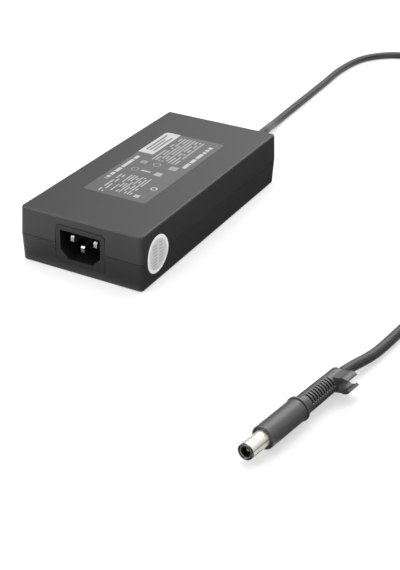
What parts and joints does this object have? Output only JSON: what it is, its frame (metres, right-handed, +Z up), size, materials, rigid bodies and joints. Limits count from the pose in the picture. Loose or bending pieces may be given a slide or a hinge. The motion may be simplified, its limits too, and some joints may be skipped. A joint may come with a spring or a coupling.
{
  "type": "laptop power adapter",
  "caption": "Rectangular laptop power adapter with a mains inlet, and a flexible cord ending in a barrel plug with a slotted strain relief and cord clip.",
  "frame": {"origin": "middle of the brick's flat underside", "axes": "+X across the brick's width, +Y along its length towards the end that the cord leaves, +Z up"},
  "size_m": [0.2267, 0.5273, 0.0315],
  "materials": {
    "case_plastic": "fine spark texture",
    "label_film": "printed film",
    "seal_film": "silvered film",
    "inlet_plastic": "smooth moulded",
    "pin_metal": "nickel plated",
    "board_laminate": "glass epoxy laminate",
    "shield_metal": "rolled sheet",
    "insulating_film": "polyester sheet",
    "pad_silicone": "soft pad",
    "component_ceramic": "glazed",
    "component_blue": "epoxy dip",
    "component_green": "epoxy dip",
    "film_yellow": "film box",
    "copper_wire": "enamelled wire",
    "ferrite": "sintered",
    "package_black": "moulded package",
    "package_white": "moulded package",
    "can_sleeve": "shrink sleeve",
    "cord_rubber": "matte jacket",
    "wire_insulation": "wire insulation",
    "barrel_metal": "nickel plated, warm",
    "tip_plastic": "polished",
    "pin_brass": "bright",
    "plug_rubber": "satin moulded"
  },
  "bodies": {
    "root": {"case_bottom": "case_plastic", "case_top": "case_plastic", "rating_label": "label_film", "round_seal": "seal_film", "inlet_housing": "inlet_plastic", "inlet_live_pin": "pin_metal", "inlet_neutral_pin": "pin_metal", "inlet_earth_pin": "pin_metal", "circuit_board": "board_laminate", "bottom_shield": "shield_metal", "bottom_insulator": "insulating_film", "top_shield": "shield_metal", "top_insulator": "insulating_film", "thermal_pads": "pad_silicone", "fuse": "component_ceramic", "varistor": "component_blue", "thermistor": "component_green", "choke_cores": "ferrite", "choke_windings": "copper_wire", "x_capacitors": "film_yellow", "y_capacitors": "component_blue", "primary_heatsink": "shield_metal", "bridge_rectifier": "package_black", "power_transistors": "package_black", "boost_core": "ferrite", "boost_winding": "copper_wire", "bulk_capacitors": "can_sleeve", "control_board": "board_laminate", "transformer_core": "ferrite", "transformer_winding": "film_yellow", "secondary_heatsink": "shield_metal", "output_rectifiers": "package_black", "output_capacitors": "can_sleeve", "output_choke": "copper_wire", "optocouplers": "package_white", "output_wires": "wire_insulation", "cord_grommet": "cord_rubber", "cord_lead": "cord_rubber", "cord_coil": "cord_rubber", "cord_tail": "cord_rubber", "plug_barrel": "barrel_metal", "tip_insulator": "tip_plastic", "inner_contact": "barrel_metal", "inner_base": "tip_plastic", "centre_pin": "pin_brass", "plug_housing": "plug_rubber", "strain_relief": "plug_rubber"}
  },
  "joints": []
}
